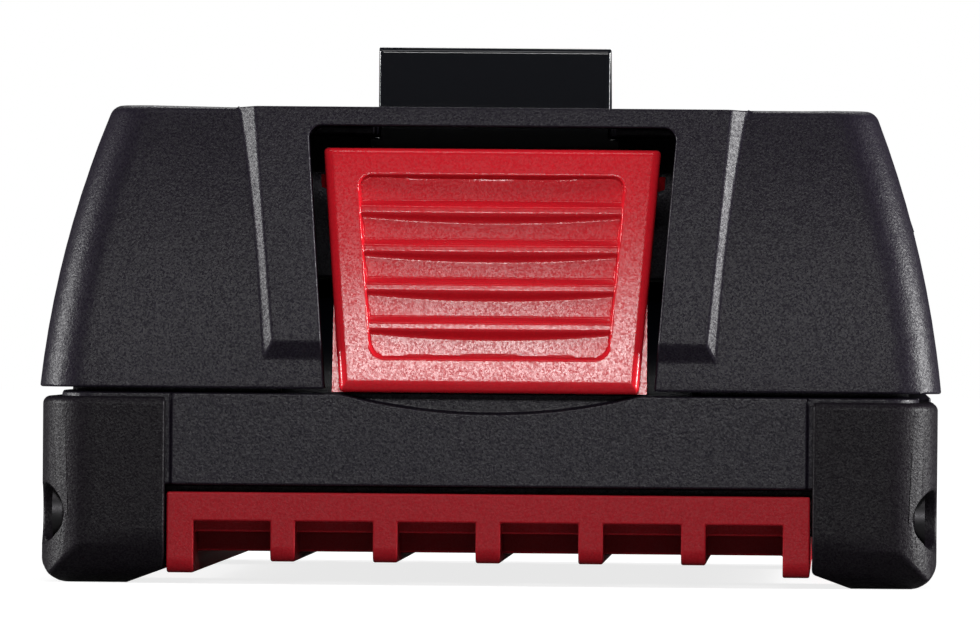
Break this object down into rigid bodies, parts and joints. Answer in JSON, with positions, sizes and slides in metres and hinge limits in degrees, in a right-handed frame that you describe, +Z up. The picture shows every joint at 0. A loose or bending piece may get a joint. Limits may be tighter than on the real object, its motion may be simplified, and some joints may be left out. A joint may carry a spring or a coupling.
{
  "type": "power tool battery pack",
  "caption": "Slide-on power tool battery pack with rail platform, sprung latch hook, ridged release button, rubber corner bumpers and a skid tray.",
  "frame": {"origin": "on the ground under the middle of the pack's outline", "axes": "+X to the right seen from the button end, +Y from the button end to the blade socket, +Z up"},
  "size_m": [0.0804, 0.1216, 0.0481],
  "materials": {
    "shell_plastic": "fine spark texture, glass-filled black nylon",
    "tray_plastic": "satin dark red",
    "bumper_rubber": "matte black",
    "button_plastic": "satin red",
    "hook_plastic": "gloss black",
    "black_screw": "black oxide",
    "plated_steel": "bright plated",
    "spring_steel": "bright wire",
    "holder_plastic": "moulded dark grey",
    "insulator_card": "green-grey card",
    "pad_foam": "closed-cell foam",
    "board_laminate": "green solder mask",
    "chip_resin": "moulded resin",
    "bead_resin": "dipped bead",
    "socket_plastic": "moulded black",
    "contact_brass": "bright",
    "nickel_strip": "bright nickel",
    "cell_sleeve": "blue shrink sleeve"
  },
  "bodies": {
    "pack": {"upper_housing": "shell_plastic", "lower_housing": "shell_plastic", "skid_tray": "tray_plastic", "front_left_bumper": "bumper_rubber", "front_right_bumper": "bumper_rubber", "rear_left_bumper": "bumper_rubber", "rear_right_bumper": "bumper_rubber", "bumper_screws": "black_screw", "housing_screws": "black_screw", "board_screws": "plated_steel", "latch_spring_left": "spring_steel", "latch_spring_right": "spring_steel", "cell_holder_left": "holder_plastic", "cell_holder_right": "holder_plastic", "end_insulator_left": "insulator_card", "end_insulator_right": "insulator_card", "foam_pad": "pad_foam", "circuit_board": "board_laminate", "control_chip": "chip_resin", "power_switches": "chip_resin", "shunt_resistor": "plated_steel", "thermistor": "bead_resin", "terminal_block": "socket_plastic", "terminal_positive": "contact_brass", "terminal_negative": "contact_brass", "signal_contacts": "contact_brass", "negative_tab": "nickel_strip", "positive_tab": "nickel_strip", "cell_1": "cell_sleeve", "cell_2": "cell_sleeve", "cell_3": "cell_sleeve", "cell_4": "cell_sleeve", "cell_5": "cell_sleeve", "series_link_1_2": "nickel_strip", "series_link_2_3": "nickel_strip", "series_link_3_4": "nickel_strip", "series_link_4_5": "nickel_strip"},
    "button": {"release_button": "button_plastic"},
    "latch": {"latch_hook": "hook_plastic"}
  },
  "joints": [
    {"name": "button_press", "type": "slide", "parent": "pack", "child": "button", "axis": [0, 1, 0], "range_m": [0, 0.005]},
    {"name": "latch_drop", "type": "slide", "parent": "pack", "child": "latch", "axis": [0, 0, -1], "range_m": [0, 0.005], "stiffness_N_per_m": 500, "springref_m": -0.003, "deforming": ["latch_spring_left", "latch_spring_right"]}
  ],
  "couplings": [
    {"joint": "latch_drop", "follows": "button_press", "ratio": 1}
  ]
}
